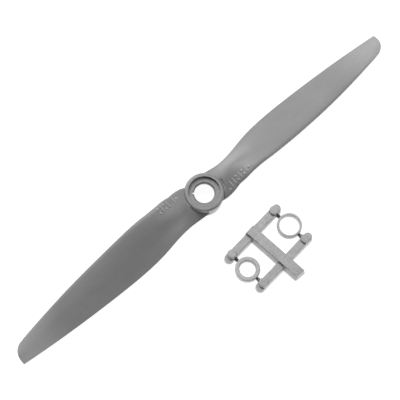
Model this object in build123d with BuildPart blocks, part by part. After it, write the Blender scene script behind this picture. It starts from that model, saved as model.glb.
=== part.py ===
"""Two-blade model-aircraft propeller, lying beside the moulded tree of its two adapter rings.

Millimetres. The origin is the middle of the shaft bore, +Z points out of the propeller's
front face along the shaft, and +X runs out along the east blade. Everything stands on one
flat surface at the height of the hub's back face.
"""

from build123d import *
from collections import namedtuple
from math import atan, cos, degrees, exp, pi, radians, sin
import os

# ---------------------------------------------------------------- driving dimensions
# propeller
TIP_RADIUS = 76.2
PITCH = 94.0
ROOT_FADE_RADIUS = 10.7
TRAILING_THICKNESS = 0.4
UPPER_SHARE = 0.8
TIP_CORNER_RADIUS = 4.5

# hub
HUB_FRONT_RADIUS = 6.3
HUB_BACK_RADIUS = 5.7
HUB_THICKNESS = 7.6
FRONT_RECESS_RADIUS = 5.0
FRONT_RECESS_DEPTH = 1.15
BORE_RADIUS = 3.175
WEB_THICKNESS = 1.4
BORE_CHAMFER = 0.35
SEAT_RADIUS = 3.93
SEAT_DEPTH = 2.6
BACK_RECESS_RADIUS = 4.7
NOTCH_RADIUS = 0.4
NOTCH_ANGLE = 137.0
WASHER_RELIEF_RADIUS = 6.7
WASHER_RELIEF_DEPTH = 0.35
RIM_FILLET = 0.6
LIP_HEIGHT = 1.3
LIP_GROOVE_RADIUS = 0.2

# adapter rings
RING_RADIUS = 3.9
RING_HEIGHT = 2.5
RING_LIFT = 0.3
THIN_RING_BORE_RADIUS = 3.2
THICK_RING_BORE_RADIUS = 2.55

# tree that the rings are moulded on
TREE_X = 3.52
TREE_Y = -25.5
TREE_ANGLE = 3.7
POST_U = 9.6
POST_V = 6.6
POST_HEIGHT = 3.9
POST_TOP_RADIUS = 1.45
POST_BASE_RADIUS = 1.6
RUNNER_HEAD = 8.4
RUNNER_TAIL = -13.4
RUNNER_TAIL_SKEW = 0.25
RUNNER_TURN = 1.0
RUNNER_WIDTH = 4.0
RUNNER_HEIGHT = 4.1
RUNNER_CORNER_RADIUS = 0.4
ARM_WIDTH = 3.1
ARM_HEIGHT = 2.9
FOOT_REACH = 1.2
FOOT_HEIGHT = 2.5
DRAFT = 6.0
GATE_POST_RADIUS = 0.9
GATE_RING_RADIUS = 0.5
BREAK_GAP = 0.05

# ---------------------------------------------------------------- derived heights
HUB_FRONT = WEB_THICKNESS / 2 + FRONT_RECESS_DEPTH
HUB_BACK = HUB_FRONT - HUB_THICKNESS
WEB_BACK = -WEB_THICKNESS / 2
SEAT_BACK = WEB_BACK - SEAT_DEPTH
BACK_RECESS_DEPTH = SEAT_BACK - HUB_BACK
THROUGH = 2 * HUB_THICKNESS

FROM_BELOW = (Align.CENTER, Align.CENTER, Align.MIN)

os.makedirs("parts", exist_ok=True)


def save(builder, name):
    builder.part.label = name
    export_step(builder.part, f"parts/{name}.step")


# ---------------------------------------------------------------- hub
# A slightly tapered boss, recessed in front, with a fine groove under its rounded lip. The
# shaft bore runs through a thin web, and the adapter ring seats behind the web, in a pocket
# with a wider mouth.
with BuildPart() as hub_blank:
    with Locations((0, 0, HUB_BACK)):
        Cone(HUB_BACK_RADIUS, HUB_FRONT_RADIUS, HUB_THICKNESS, align=FROM_BELOW)

with BuildPart() as hub:
    add(hub_blank.part)
    fillet(hub.edges().filter_by(GeomType.CIRCLE).sort_by(Axis.Z)[-1], RIM_FILLET)
    with Locations((0, 0, HUB_FRONT - LIP_HEIGHT)):
        Torus(HUB_FRONT_RADIUS, LIP_GROOVE_RADIUS, mode=Mode.SUBTRACT)
    chamfer(hub.edges().filter_by(GeomType.CIRCLE).sort_by(Axis.Z)[0], 0.25)
    with Locations((0, 0, HUB_FRONT - FRONT_RECESS_DEPTH)):
        Cylinder(FRONT_RECESS_RADIUS, THROUGH, align=FROM_BELOW, mode=Mode.SUBTRACT)
    Cylinder(BORE_RADIUS, THROUGH, mode=Mode.SUBTRACT)
    with Locations((0, 0, SEAT_BACK)):
        Cylinder(SEAT_RADIUS, SEAT_DEPTH, align=FROM_BELOW, mode=Mode.SUBTRACT)
    with Locations((0, 0, HUB_BACK)):
        Cylinder(BACK_RECESS_RADIUS, BACK_RECESS_DEPTH, align=FROM_BELOW, mode=Mode.SUBTRACT)
    bore_mouth = [e for e in hub.edges().filter_by(GeomType.CIRCLE)
                  if abs(e.radius - BORE_RADIUS) < 1e-6 and e.center().Z > 0]
    chamfer(bore_mouth, BORE_CHAMFER)
    with PolarLocations(BORE_RADIUS + BORE_CHAMFER / 2, 1, start_angle=NOTCH_ANGLE):
        Cylinder(NOTCH_RADIUS, WEB_THICKNESS, mode=Mode.SUBTRACT)

# ---------------------------------------------------------------- blades
# Each station gives the distance from the shaft, how far the leading and trailing edges stand
# from the blade's radial centreline, the trailing edge's height, the greatest thickness, and the
# brow: how much of the crown is left where the top runs down to the leading edge.
Station = namedtuple("Station", "radius leading trailing height thickness brow")
STATIONS = [
    Station(1.0, 5.6, 5.3, -1.8, 2.3, 0.5),
    Station(4.5, 6.0, 5.3, -1.9, 2.3, 0.5),
    Station(8.0, 6.1, 4.72, -2.65, 3.1, 0.48),
    Station(12.0, 6.06, 4.47, -3.1, 3.9, 0.46),
    Station(16.5, 6.03, 4.85, -3.0, 3.1, 0.6),
    Station(21.0, 6.28, 5.5, -2.55, 2.2, 0.74),
    Station(29.0, 6.57, 5.95, -2.2, 1.8, 0.76),
    Station(39.0, 6.5, 5.6, -2.15, 1.45, 0.78),
    Station(51.0, 6.05, 4.7, -2.15, 1.15, 0.78),
    Station(63.0, 5.05, 3.5, -2.15, 0.9, 0.78),
    Station(71.0, 4.15, 2.5, -2.15, 0.72, 0.78),
    Station(78.0, 3.3, 1.45, -2.15, 0.6, 0.78),
]


def blade_angle(radius):
    """Constant pitch outboard, flattening out where the blade runs into the hub."""
    helix = degrees(atan(PITCH / (2 * pi * radius)))
    return helix * (1 - exp(-(radius / ROOT_FADE_RADIUS) ** 2))


def blade_section(station):
    """Closed outline of one section: u across the blade, v up, leading edge at -u and high."""
    angle = radians(blade_angle(station.radius))
    width = station.leading + station.trailing
    chord = width / cos(angle)
    tail = Vector(station.trailing, station.height)
    along = Vector(-cos(angle), sin(angle))
    up = Vector(sin(angle), cos(angle))
    upper = UPPER_SHARE * station.thickness
    lower = station.thickness - upper
    edge = TRAILING_THICKNESS / 2

    def at(share, height):
        return tail + along * (chord * share) + up * height

    nose = at(1, 0)
    Spline(at(0, edge), at(0.33, 0.66 * upper), at(0.62, upper),
           at(0.88, station.brow * upper), nose, tangents=[along + up * (upper / chord), up * -1])
    Spline(nose, at(0.9, -0.85 * lower), at(0.6, -lower), at(0.25, -0.6 * lower), at(0, -edge),
           tangents=[up * -1, along * -1])
    Line(at(0, -edge), at(0, edge))


def make_blade():
    """East blade: rounded at the tip's leading corner, and cut to the hub's wall at the root.

    Beside the hub's front rim the root is cut back, to leave room for the nut's washer.
    """
    with BuildPart() as blade:
        for station in STATIONS:
            with BuildSketch(Plane((station.radius, 0, 0), x_dir=(0, 1, 0), z_dir=(1, 0, 0))):
                with BuildLine():
                    blade_section(station)
                make_face()
        loft()
        corner = TIP_RADIUS - TIP_CORNER_RADIUS
        with BuildSketch(Plane.XY.offset(-THROUGH)):
            with BuildLine():
                arc = RadiusArc((corner, -3.95), (TIP_RADIUS, 0.5), -TIP_CORNER_RADIUS)
                Polyline(arc @ 1, (TIP_RADIUS, 9), (TIP_RADIUS + 9, 9),
                         (TIP_RADIUS + 9, -9), (corner, -9), arc @ 0)
            make_face()
        extrude(amount=2 * THROUGH, mode=Mode.SUBTRACT)
        with Locations((0, 0, HUB_FRONT - WASHER_RELIEF_DEPTH)):
            Cylinder(WASHER_RELIEF_RADIUS, THROUGH, align=FROM_BELOW, mode=Mode.SUBTRACT)
        add(hub_blank.part, mode=Mode.SUBTRACT)
    return blade


blade_east = make_blade()
with BuildPart() as blade_west:
    add(blade_east.part.rotate(Axis.Z, 180))

# ---------------------------------------------------------------- tree frame
# u runs along the side arms, v along the main runner, and w up from the surface it lies on.
TREE = Plane((TREE_X, TREE_Y, HUB_BACK), z_dir=(0, 0, 1),
             x_dir=(cos(radians(TREE_ANGLE)), sin(radians(TREE_ANGLE)), 0))


def on_tree(u, v, w=0, tilt=0):
    return TREE.location * Location((u, v, w), (tilt, 0, 0))


def make_ring(u, bore_radius, edge_chamfer):
    with BuildPart() as ring:
        with Locations(on_tree(u, 0, RING_LIFT)):
            Cylinder(RING_RADIUS, RING_HEIGHT, align=FROM_BELOW)
            Cylinder(bore_radius, RING_HEIGHT, align=FROM_BELOW, mode=Mode.SUBTRACT)
        chamfer(ring.edges().filter_by(GeomType.CIRCLE), edge_chamfer)
    return ring


# ---------------------------------------------------------------- adapter rings
thin_ring = make_ring(POST_U, THIN_RING_BORE_RADIUS, 0.12)
thick_ring = make_ring(-POST_U, THICK_RING_BORE_RADIUS, 0.2)

# ---------------------------------------------------------------- runner, arms, posts, gates
# The runner was snapped off its feed at the tail, so that end isn't square.
with BuildPart() as main_runner:
    with BuildSketch(TREE.rotated((0, 0, RUNNER_TURN))) as outline:
        side = RUNNER_WIDTH / 2
        with BuildLine():
            Polyline((side, RUNNER_HEAD), (-side, RUNNER_HEAD), (-side, RUNNER_TAIL + RUNNER_TAIL_SKEW),
                     (side, RUNNER_TAIL - RUNNER_TAIL_SKEW), close=True)
        make_face()
        fillet(outline.vertices(), RUNNER_CORNER_RADIUS)
    extrude(amount=RUNNER_HEIGHT, taper=DRAFT)

CORNERS = {"north": (1, 1), "east": (1, -1), "south": (-1, -1), "west": (-1, 1)}

posts = {}
arms = {}
gates = {}
for name, (u, v) in CORNERS.items():
    # an ejector post with a low rounded foot on its outer side
    with BuildPart() as post:
        with BuildSketch(TREE):
            with Locations((u * (POST_U + FOOT_REACH / 2), v * POST_V)):
                SlotOverall(FOOT_REACH + 2 * POST_BASE_RADIUS, 2 * POST_BASE_RADIUS)
        extrude(amount=FOOT_HEIGHT, taper=DRAFT)
        with Locations(on_tree(u * POST_U, v * POST_V)):
            Cone(POST_BASE_RADIUS, POST_TOP_RADIUS, POST_HEIGHT, align=FROM_BELOW)
        fillet(post.edges().filter_by(GeomType.CIRCLE).sort_by(Axis.Z)[-1], 0.3)
    posts[name] = post

    with BuildPart() as arm:
        with BuildSketch(TREE):
            with Locations((u * POST_U / 2, v * POST_V)):
                Rectangle(POST_U, ARM_WIDTH)
        extrude(amount=ARM_HEIGHT, taper=DRAFT)
        add(main_runner.part, mode=Mode.SUBTRACT)
        add(post.part, mode=Mode.SUBTRACT)
    arms[name] = arm

    with BuildPart() as gate:
        reach = POST_V - RING_RADIUS - BREAK_GAP
        with Locations(on_tree(u * POST_U, v * POST_V, RING_LIFT + RING_HEIGHT / 2, v * 90)):
            Cone(GATE_POST_RADIUS, GATE_RING_RADIUS, reach, align=FROM_BELOW)
        add(post.part, mode=Mode.SUBTRACT)
    gates[name] = gate

# ---------------------------------------------------------------- files
save(hub, "hub")
save(blade_east, "blade_east")
save(blade_west, "blade_west")
save(thin_ring, "thin_ring")
save(thick_ring, "thick_ring")
save(main_runner, "main_runner")
for name in CORNERS:
    save(arms[name], f"arm_{name}")
    save(posts[name], f"post_{name}")
    save(gates[name], f"gate_{name}")
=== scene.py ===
"""Looks for the two-blade propeller and its ring tree.

The shapes come from the CAD frame. This script adds the moulded plastic's materials, the small
raised marks on the blade roots, the floor, the light and the camera. Metres throughout.
"""

import math

import bmesh
import bpy
from mathutils import Matrix, Vector
from mathutils.bvhtree import BVHTree


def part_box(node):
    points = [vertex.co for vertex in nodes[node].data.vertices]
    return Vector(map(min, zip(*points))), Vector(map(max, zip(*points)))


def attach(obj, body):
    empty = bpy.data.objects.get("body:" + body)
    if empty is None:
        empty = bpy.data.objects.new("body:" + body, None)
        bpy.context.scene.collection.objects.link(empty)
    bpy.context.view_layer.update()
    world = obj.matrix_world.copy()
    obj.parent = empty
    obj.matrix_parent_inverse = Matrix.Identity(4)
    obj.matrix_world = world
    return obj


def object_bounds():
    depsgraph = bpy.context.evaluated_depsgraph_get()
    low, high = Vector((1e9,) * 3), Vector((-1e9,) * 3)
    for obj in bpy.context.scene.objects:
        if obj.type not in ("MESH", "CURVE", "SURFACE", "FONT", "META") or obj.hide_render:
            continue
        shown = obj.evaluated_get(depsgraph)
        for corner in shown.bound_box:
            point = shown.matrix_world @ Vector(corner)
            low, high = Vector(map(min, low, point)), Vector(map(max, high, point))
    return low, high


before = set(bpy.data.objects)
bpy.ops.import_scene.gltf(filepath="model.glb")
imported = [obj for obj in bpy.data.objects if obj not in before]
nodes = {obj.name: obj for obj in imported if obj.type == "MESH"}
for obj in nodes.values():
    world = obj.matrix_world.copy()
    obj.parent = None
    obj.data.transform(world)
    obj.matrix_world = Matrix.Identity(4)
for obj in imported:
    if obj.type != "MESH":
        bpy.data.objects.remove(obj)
cad_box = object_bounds()
MM = 0.001
UP = Vector((0, 0, 1))


# ---------------------------------------------------------------- materials
# how fine each noise in the plastic is, in features per metre
CLOUDS, STREAKS, SHEEN, RUBBING, GRAIN = 180, 420, 650, 900, 2600
GRAIN_DEPTH = 0.02 * MM

ALONG_BLADE = (0.25, 1, 1)
# a dark line painted into the tree's colour: painted shade just under the top edge of a runner
# or an arm
SHADE_LINE_WIDTH, SHADE_LINE_DEPTH = 0.4 * MM, 0.5
SHADE_LINE_DROP = 0.55 * MM  # where the painted shade line sits, below the top of a runner or an arm
GLOW_FROM, GLOW_TO = 56 * MM, 72 * MM  # out from the shaft, where the blades are painted paler: painted light, for light through the thin nylon and on the curved leading half


def add_node(tree, kind, settings=None, **sockets):
    node = tree.nodes.new(kind)
    for name, value in (settings or {}).items():
        setattr(node, name, value)
    for name, value in sockets.items():
        node.inputs[name.replace("_", " ")].default_value = value
    return node


def noise(tree, coords, scale, detail, stretch=(1, 1, 1), offset=0.0):
    """Noise in the part's own coordinates. scale is in features per metre."""
    place = add_node(tree, "ShaderNodeMapping", Scale=stretch, Location=(offset, offset, offset))
    tree.links.new(coords, place.inputs["Vector"])
    tex = add_node(tree, "ShaderNodeTexNoise", Scale=scale, Detail=detail, Roughness=0.6)
    tree.links.new(place.outputs["Vector"], tex.inputs["Vector"])
    return tex.outputs["Fac"]


def math_node(tree, operation, a, b, clamp=False):
    node = add_node(tree, "ShaderNodeMath", {"operation": operation, "use_clamp": clamp})
    for socket, value in zip(node.inputs, (a, b)):
        if isinstance(value, (int, float)):
            socket.default_value = value
        else:
            tree.links.new(value, socket)
    return node.outputs[0]


def spread(tree, value, low, high):
    """Map the useful middle of a noise, 0.3 to 0.7, to low..high."""
    node = add_node(tree, "ShaderNodeMapRange")
    node.inputs["From Min"].default_value = 0.3
    node.inputs["From Max"].default_value = 0.7
    node.inputs["To Min"].default_value = low
    node.inputs["To Max"].default_value = high
    tree.links.new(value, node.inputs["Value"])
    return node.outputs["Result"]


def ramp(tree, value, start, end):
    """0 at start and 1 at end, smoothly, and flat beyond them."""
    node = add_node(tree, "ShaderNodeMapRange", {"interpolation_type": "SMOOTHSTEP"})
    node.inputs["From Min"].default_value = start
    node.inputs["From Max"].default_value = end
    tree.links.new(value, node.inputs["Value"])
    return node.outputs["Result"]


def make_plastic(name, shade, mottle=0.05, grain=0.05, roughness=(0.32, 0.44),
                 flow=(1, 1, 1), wear=0.5, edge=0.16 * MM, shade_line_at=None, tip_glow=0.0):
    """Satin glass-filled nylon: cloudy mottling, fine grain, flow streaks and rubbed edges.

    The next to last argument gives the height of a dark line painted just under a top edge:
    painted shade, where the side falls into shade under the edge.
    The last gives how much paler the blade ends are painted: painted light, for light through
    the thin nylon and on the curved leading half.
    """
    mat = bpy.data.materials.new(name)
    mat.use_nodes = True
    tree = mat.node_tree
    bsdf = tree.nodes["Principled BSDF"]
    coords = add_node(tree, "ShaderNodeTexCoord").outputs["Object"]

    clouds = spread(tree, noise(tree, coords, CLOUDS, 3), 1 - mottle, 1 + mottle)
    streaks = spread(tree, noise(tree, coords, STREAKS, 4, flow, 0.03), 1 - mottle, 1 + mottle)
    fine = noise(tree, coords, GRAIN, 3, offset=0.07)
    specks = spread(tree, fine, 1 - grain, 1 + grain)
    tone = math_node(tree, "MULTIPLY", math_node(tree, "MULTIPLY", clouds, streaks), specks)

    place = add_node(tree, "ShaderNodeSeparateXYZ")
    tree.links.new(coords, place.inputs[0])
    # painted shade: a dark band at one height, just under a top edge
    if shade_line_at is not None:
        above = math_node(tree, "SUBTRACT", place.outputs["Z"], shade_line_at)
        away = math_node(tree, "ABSOLUTE", above, 0)
        line = math_node(tree, "MULTIPLY", ramp(tree, away, SHADE_LINE_WIDTH, 0), SHADE_LINE_DEPTH)
        tone = math_node(tree, "MULTIPLY", tone, math_node(tree, "SUBTRACT", 1.0, line))
    # painted light: the blade ends are made paler, for light through the thin nylon and on the
    # curved leading half
    if tip_glow:
        out = math_node(tree, "ABSOLUTE", place.outputs["X"], 0)
        painted_glow = math_node(tree, "MULTIPLY", ramp(tree, out, GLOW_FROM, GLOW_TO), tip_glow)
        tone = math_node(tree, "MULTIPLY", tone, math_node(tree, "ADD", 1.0, painted_glow))

    # edges, where the rounded normal leaves the flat one, are rubbed paler
    soft = add_node(tree, "ShaderNodeBevel", {"samples": 6}, Radius=edge)
    geometry = add_node(tree, "ShaderNodeNewGeometry")
    cosine = add_node(tree, "ShaderNodeVectorMath", {"operation": "DOT_PRODUCT"})
    tree.links.new(soft.outputs["Normal"], cosine.inputs[0])
    tree.links.new(geometry.outputs["Normal"], cosine.inputs[1])
    bend = math_node(tree, "SUBTRACT", 1.0, cosine.outputs["Value"])
    patches = spread(tree, noise(tree, coords, RUBBING, 2), 0.6, 2.4)
    rubbed = math_node(tree, "MULTIPLY", bend, patches, clamp=True)
    lift = math_node(tree, "ADD", math_node(tree, "MULTIPLY", rubbed, wear), 1.0)
    level = math_node(tree, "MULTIPLY", math_node(tree, "MULTIPLY", tone, lift), shade)
    colour = add_node(tree, "ShaderNodeCombineColor")
    for channel in ("Red", "Green", "Blue"):
        tree.links.new(level, colour.inputs[channel])
    tree.links.new(colour.outputs["Color"], bsdf.inputs["Base Color"])

    rough = spread(tree, noise(tree, coords, SHEEN, 3, flow, 0.11), *roughness)
    tree.links.new(rough, bsdf.inputs["Roughness"])
    bump = add_node(tree, "ShaderNodeBump", Strength=0.35, Distance=GRAIN_DEPTH)
    tree.links.new(fine, bump.inputs["Height"])
    tree.links.new(soft.outputs["Normal"], bump.inputs["Normal"])
    tree.links.new(bump.outputs["Normal"], bsdf.inputs["Normal"])
    return mat


HUB_NYLON = make_plastic("hub_nylon", 0.2, mottle=0.05, grain=0.2, wear=1.0)
# the blades' nylon carries painted light: paler toward their ends
BLADE_NYLON_PAINTED_GLOW = make_plastic("blade_nylon_painted_glow", 0.206, mottle=0.03, grain=0.05, roughness=(0.44, 0.58),
                           flow=ALONG_BLADE, tip_glow=0.45)


def make_tree_plastic(name, node=None):
    """The tree's nylon, with a painted shade line just under the top of a node where one is
    given.
    """
    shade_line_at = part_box(node)[1][2] - SHADE_LINE_DROP if node else None
    return make_plastic(name, 0.325, mottle=0.07, grain=0.2, wear=0.1, edge=0.32 * MM,
                        shade_line_at=shade_line_at)


# the runner and the arms carry the painted shade line; the posts do not
POST_NYLON = make_tree_plastic("post_nylon")
RUNNER_NYLON_PAINTED_SHADE = make_tree_plastic("runner_nylon_painted_shade", "main_runner")
ARM_NYLON_PAINTED_SHADE = make_tree_plastic("arm_nylon_painted_shade", "arm_east")
# the gates are the same plastic, painted much darker: painted shade, for the shaded gaps that
# the thin gates sit in
GATE_NYLON_PAINTED_SHADE = make_plastic("gate_nylon_painted_shade", 0.1, mottle=0.1, grain=0.2, wear=0.0)
# the rings are the same plastic as the runner, painted paler: painted light, for the brighter
# light that falls on them
RING_NYLON_PAINTED_LIGHT = make_plastic("ring_nylon_painted_light", 0.39, mottle=0.06, grain=0.16, wear=0.6)
# the raised marks are the blade's own nylon, painted paler: painted highlight, for the light
# their raised tops catch
MARK_NYLON_PAINTED_HIGHLIGHT = make_plastic("mark_nylon_painted_highlight", 0.3, mottle=0.03, grain=0.08, wear=0.2)

# by the first word of a node's name
LOOKS = {"hub": HUB_NYLON, "blade": BLADE_NYLON_PAINTED_GLOW, "main": RUNNER_NYLON_PAINTED_SHADE, "arm": ARM_NYLON_PAINTED_SHADE,
         "post": POST_NYLON, "gate": GATE_NYLON_PAINTED_SHADE, "thin": RING_NYLON_PAINTED_LIGHT, "thick": RING_NYLON_PAINTED_LIGHT}
for name, obj in nodes.items():
    obj.data.materials.clear()
    obj.data.materials.append(LOOKS[name.split("_")[0]])

# ---------------------------------------------------------------- raised marks on the roots
MARK_HEIGHT = 0.24 * MM
MARK_WIDTH = 0.5 * MM
MARK_SINK = 0.1 * MM
MARK_RINGS = 5
MARK_TURN = 20  # points around a mark
# in millimetres, as the rows below are
MARK_PITCH = 1.2
MARK_INNER, MARK_OUTER = -5.0, -3.1


def surface_finder(node):
    """A function that gives the height of a node's top surface above a point in the plane."""
    obj = nodes[node]
    mesh = bmesh.new()
    mesh.from_mesh(obj.data)
    mesh.transform(obj.matrix_world)
    tree = BVHTree.FromBMesh(mesh)
    mesh.free()
    ceiling = cad_box[1].z + 10 * MM

    def top(x, y):
        return tree.ray_cast(Vector((x, y, ceiling)), -UP)[0].z

    return top


def stadium(start, end, reach):
    """Points around a segment, all at the same distance from it."""
    along = end - start
    heading = math.atan2(along.y, along.x) if along.length else 0.0
    half = MARK_TURN // 2
    points = []
    for middle, turn in ((end, heading - math.pi / 2), (start, heading + math.pi / 2)):
        for i in range(half + 1):
            angle = turn + math.pi * i / half
            points.append(middle + reach * Vector((math.cos(angle), math.sin(angle))))
    return points


def raise_mark(mesh, top, start, end, width, height):
    """A plain round-topped bar, or a pip where start and end are the same, on the surface."""
    rings = []
    for k in range(MARK_RINGS + 1):
        lean = math.pi / 2 * (1 - k / (MARK_RINGS + 1))
        reach = width / 2 * math.sin(lean)
        rise = height * math.cos(lean)
        rings.append([mesh.verts.new((p.x, p.y, top(p.x, p.y) + rise))
                      for p in stadium(start, end, reach)])
    foot = [mesh.verts.new((p.x, p.y, top(p.x, p.y) - MARK_SINK))
            for p in stadium(start, end, width / 2)]
    rings.insert(0, foot)
    count = len(foot)
    for low, high in zip(rings, rings[1:]):
        for i in range(count):
            j = (i + 1) % count
            mesh.faces.new((low[i], low[j], high[j], high[i]))
    mesh.faces.new(rings[-1])
    mesh.faces.new(foot[::-1])


def make_marks(name, blade, turn, strokes):
    """strokes: start and end of each mark in millimetres, out along the blade and across it."""
    top = surface_finder(blade)
    mesh = bmesh.new()
    for x0, y0, x1, y1, width in strokes:
        ends = [Vector((x, y)) * MM * turn for x, y in ((x0, y0), (x1, y1))]
        raise_mark(mesh, top, ends[0], ends[1], width * MARK_WIDTH, MARK_HEIGHT)
    bmesh.ops.recalc_face_normals(mesh, faces=mesh.faces)
    data = bpy.data.meshes.new(name)
    mesh.to_mesh(data)
    mesh.free()
    data.shade_smooth()
    data.materials.append(MARK_NYLON_PAINTED_HIGHLIGHT)
    obj = bpy.data.objects.new(name, data)
    bpy.context.scene.collection.objects.link(obj)
    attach(obj, "propeller")


def row_of_marks(first, kinds):
    """A plain row of bars and pips that says nothing, starting this far out from the shaft.

    A gap leaves a mark's space empty.
    """
    strokes = []
    for i, kind in enumerate(kinds):
        x = first + i * MARK_PITCH
        if kind == "bar":
            strokes.append((x, MARK_INNER, x, MARK_OUTER, 1.0))
        elif kind == "pips":
            for y in (MARK_INNER + 0.2, MARK_OUTER - 0.2):
                strokes.append((x, y, x, y, 1.7))
        elif kind == "pip":
            y = (MARK_INNER + MARK_OUTER) / 2
            strokes.append((x, y, x, y, 1.9))
    return strokes


make_marks("root_marks_east", "blade_east", 1,
           row_of_marks(7.6, ("bar", "bar", "pips", "bar", "pips", "bar", "pip"))
           + [(6.3, -5.0, 6.3, -5.0, 1.9)])
make_marks("root_marks_west", "blade_west", -1,
           row_of_marks(8.0, ("pip", "bar", "gap", "bar", "pips", "bar", "pips")))

# ---------------------------------------------------------------- floor and light
PAPER_WHITE, PAPER_BOUNCE = 0.93, 1.45
PAPER_ALBEDO = 0.25
WORLD_STRENGTH = 0.05
bpy.ops.mesh.primitive_plane_add(size=4, location=(0, 0, cad_box[0].z))
floor = bpy.context.object
floor.name = "floor"
paper = bpy.data.materials.new("floor_paper")
paper.use_nodes = True
paper_bsdf = paper.node_tree.nodes["Principled BSDF"]
paper_bsdf.inputs["Base Color"].default_value = (PAPER_ALBEDO, PAPER_ALBEDO, PAPER_ALBEDO, 1)
paper_bsdf.inputs["Roughness"].default_value = 1.0
paper_bsdf.inputs["Specular IOR Level"].default_value = 0.0
paper_bsdf.inputs["Emission Color"].default_value = (1, 1, 1, 1)
# the paper is overexposed where it lights the object from below, and plain white to the camera
seen = add_node(paper.node_tree, "ShaderNodeLightPath").outputs["Is Camera Ray"]
glow = math_node(paper.node_tree, "SUBTRACT", PAPER_BOUNCE,
                 math_node(paper.node_tree, "MULTIPLY", seen, PAPER_BOUNCE - PAPER_WHITE))
paper.node_tree.links.new(glow, paper_bsdf.inputs["Emission Strength"])
floor.data.materials.append(paper)

world = bpy.data.worlds.new("studio")
bpy.context.scene.world = world
world.use_nodes = True
sky = world.node_tree.nodes["Background"]
sky.inputs["Color"].default_value = (1, 1, 1, 1)
sky.inputs["Strength"].default_value = WORLD_STRENGTH

# image directions on the floor, in the part's frame
AZ = math.radians(43.0)
EAST = Vector((math.cos(AZ), -math.sin(AZ), 0))
NORTH = Vector((math.sin(AZ), math.cos(AZ), 0))


def softbox(name, toward, elevation, size, power, distance=0.6):
    """An area light aimed at the hub. toward is (east, north) in the image."""
    flat = (EAST * toward[0] + NORTH * toward[1]).normalized()
    e = math.radians(elevation)
    place = (flat * math.cos(e) + UP * math.sin(e)) * distance
    data = bpy.data.lights.new(name, "AREA")
    data.shape = "DISK"
    data.size = size
    data.energy = power
    obj = bpy.data.objects.new(name, data)
    bpy.context.scene.collection.objects.link(obj)
    obj.location = place
    obj.rotation_mode = "QUATERNION"
    obj.rotation_quaternion = (-place).to_track_quat("-Z", "Y")


softbox("key", (-0.5, 0.87), 48, 0.35, 3.1)
softbox("top", (0, 1), 72, 0.5, 1.5)
softbox("fill", (0.95, -0.25), 24, 0.4, 0.9)

# ---------------------------------------------------------------- camera
TILT, SPIN = math.radians(16.0), math.radians(-4.0)
DISTANCE = 516.3 * MM
FOCAL = 4.175  # focal length over the image's width
RIM = Vector((0, 0, 1.85 * MM))
OFF_AXIS = Vector((0.0026, 0.0049))  # how far off the axis the hub stands, as a slope
SENSOR = 36

ex = EAST * math.cos(SPIN) + NORTH * math.sin(SPIN)
ey = -EAST * math.sin(SPIN) + NORTH * math.cos(SPIN)
up0 = ey * math.cos(TILT) + UP * math.sin(TILT)
look = ey * math.sin(TILT) - UP * math.cos(TILT)
right = ex * math.cos(SPIN) - up0 * math.sin(SPIN)
up = ex * math.sin(SPIN) + up0 * math.cos(SPIN)
place = RIM - look * DISTANCE
aim = (look - right * OFF_AXIS.x - up * OFF_AXIS.y).normalized()
side = aim.cross(up).normalized()
top_side = side.cross(aim)
cam_data = bpy.data.cameras.new("camera")
cam_data.sensor_width = SENSOR
cam_data.lens = SENSOR * FOCAL
cam_data.clip_start = 10 * MM
cam = bpy.data.objects.new("camera", cam_data)
bpy.context.scene.collection.objects.link(cam)
cam.matrix_world = Matrix((
    (side.x, top_side.x, -aim.x, place.x),
    (side.y, top_side.y, -aim.y, place.y),
    (side.z, top_side.z, -aim.z, place.z),
    (0, 0, 0, 1)))
bpy.context.scene.camera = cam
bpy.context.scene.view_settings.view_transform = "Standard"
